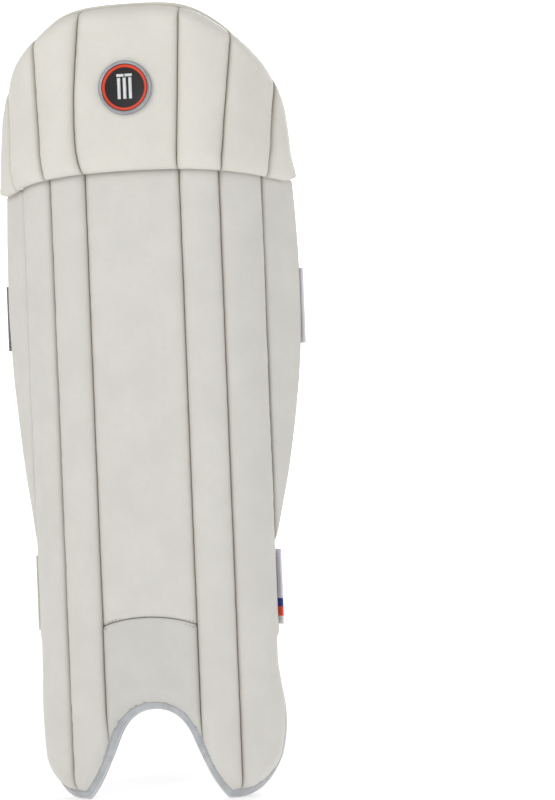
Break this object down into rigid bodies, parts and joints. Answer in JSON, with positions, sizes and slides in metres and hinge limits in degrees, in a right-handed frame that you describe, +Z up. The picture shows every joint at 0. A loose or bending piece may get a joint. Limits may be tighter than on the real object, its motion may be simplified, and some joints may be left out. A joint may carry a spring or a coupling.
{
  "type": "cricket leg pad",
  "caption": "Wicket-keeping leg pad: ribbed padded shin, flexing knee cap, folding side wings, and elastic calf and ankle straps that open at the back.",
  "frame": {"origin": "on the floor plane under the feet, on the middle plane, halfway between the front of the knee cap and the back of the calf strap", "axes": "+Z up the leg, -Y the front that faces the ball, +Y the side the leg lies on, +X the wearer's left when worn"},
  "size_m": [0.2705, 0.1233, 0.68],
  "materials": {
    "facing": "soft cream polyurethane-coated facing with a fine grain",
    "instep_facing": "soft cream polyurethane-coated facing",
    "rib_foam": "dense closed-cell foam",
    "knee_foam": "dense closed-cell foam, layered",
    "lining": "dark grey woven lining",
    "strip_print": "printed fabric: fine hexagons, blue and orange-red bands",
    "bolster_fabric": "white brushed micro-mesh",
    "spacer_mesh": "white open spacer mesh",
    "binding": "silver-grey coated binding tape",
    "piping": "cream coated piping",
    "loop_tape": "woven loop tape",
    "hook_tape": "moulded hook tape",
    "back_panel": "soft white coated fabric with a printed corner",
    "badge": "moulded rubber, raised rim",
    "elastic": "white woven elastic with blue and orange stripes",
    "patch": "cream coated strap patch",
    "ribbed_elastic": "cream ribbed elastic",
    "webbing": "white woven webbing with blue and orange stripes",
    "ring_plastic": "moulded white plastic"
  },
  "bodies": {
    "shin": {"shin_cover": "facing", "centre_rib": "rib_foam", "right_inner_rib": "rib_foam", "left_inner_rib": "rib_foam", "right_outer_rib": "rib_foam", "left_outer_rib": "rib_foam", "instep_cover": "instep_facing", "instep_pad": "rib_foam", "shin_lining": "lining", "centre_strip": "strip_print", "right_bolster": "bolster_fabric", "left_bolster": "bolster_fabric", "centre_mesh_pad": "spacer_mesh", "right_inner_mesh_pad": "spacer_mesh", "left_inner_mesh_pad": "spacer_mesh", "right_outer_mesh_pad": "spacer_mesh", "left_outer_mesh_pad": "spacer_mesh", "foot_binding": "binding", "edge_loop_patch": "loop_tape"},
    "right_wing": {"right_wing_cover": "facing", "right_wing_core": "rib_foam", "right_side_bolster": "bolster_fabric", "strap_anchor": "elastic"},
    "left_wing": {"left_wing_cover": "facing", "left_wing_core": "rib_foam", "left_side_bolster": "bolster_fabric", "wing_loop_patch": "loop_tape"},
    "knee_cap": {"knee_cover": "facing", "knee_roll": "knee_foam", "knee_centre_pad": "knee_foam", "right_knee_inner_pad": "knee_foam", "left_knee_inner_pad": "knee_foam", "right_knee_outer_pad": "knee_foam", "left_knee_outer_pad": "knee_foam", "right_knee_wing_pad": "knee_foam", "left_knee_wing_pad": "knee_foam", "knee_back_panel": "back_panel", "knee_piping": "piping", "front_badge": "badge", "back_badge": "badge"},
    "strap_root": {"strap_root": "elastic"},
    "calf_strap": {"calf_elastic": "elastic", "calf_patch": "patch", "strap_badge": "badge", "calf_hook_patch": "hook_tape"},
    "ankle_strap": {"ankle_elastic": "ribbed_elastic", "ankle_webbing": "webbing"},
    "ankle_ring": {"ankle_ring": "ring_plastic"},
    "ankle_tab": {"ankle_tab": "webbing", "tab_hook_patch": "hook_tape"}
  },
  "joints": [
    {"name": "knee_flex", "type": "hinge", "parent": "shin", "child": "knee_cap", "pos_m": [0, -0.033, 0.548], "axis": [1, 0, 0], "range_deg": [-12, 5]},
    {"name": "right_wing_fold", "type": "hinge", "parent": "shin", "child": "right_wing", "pos_m": [0.10722, -0.00921, 0.36], "axis": [0, 0, 1], "range_deg": [0, 10]},
    {"name": "left_wing_fold", "type": "hinge", "parent": "shin", "child": "left_wing", "pos_m": [-0.10722, -0.00921, 0.36], "axis": [0, 0, -1], "range_deg": [0, 10]},
    {"name": "strap_root_flex", "type": "hinge", "parent": "right_wing", "child": "strap_root", "pos_m": [0.12729, 0.02995, 0.421], "axis": [0, 0, -1], "range_deg": [0, 10]},
    {"name": "calf_strap_open", "type": "hinge", "parent": "strap_root", "child": "calf_strap", "pos_m": [0.11924, 0.03562, 0.421], "axis": [0, 0, -1], "range_deg": [0, 110]},
    {"name": "ankle_strap_open", "type": "hinge", "parent": "shin", "child": "ankle_strap", "pos_m": [-0.10772, -0.00921, 0.177], "axis": [0, 0, 1], "range_deg": [0, 100]},
    {"name": "ring_swing", "type": "hinge", "parent": "ankle_strap", "child": "ankle_ring", "pos_m": [0.071, 0.012, 0.177], "axis": [0, 0, 1], "range_deg": [0, 60]},
    {"name": "tab_peel", "type": "hinge", "parent": "ankle_ring", "child": "ankle_tab", "pos_m": [0.0936, 0.012, 0.177], "axis": [0, 0, 1], "range_deg": [0, 100]}
  ],
  "couplings": [
    {"joint": "strap_root_flex", "follows": "right_wing_fold", "ratio": 1}
  ]
}
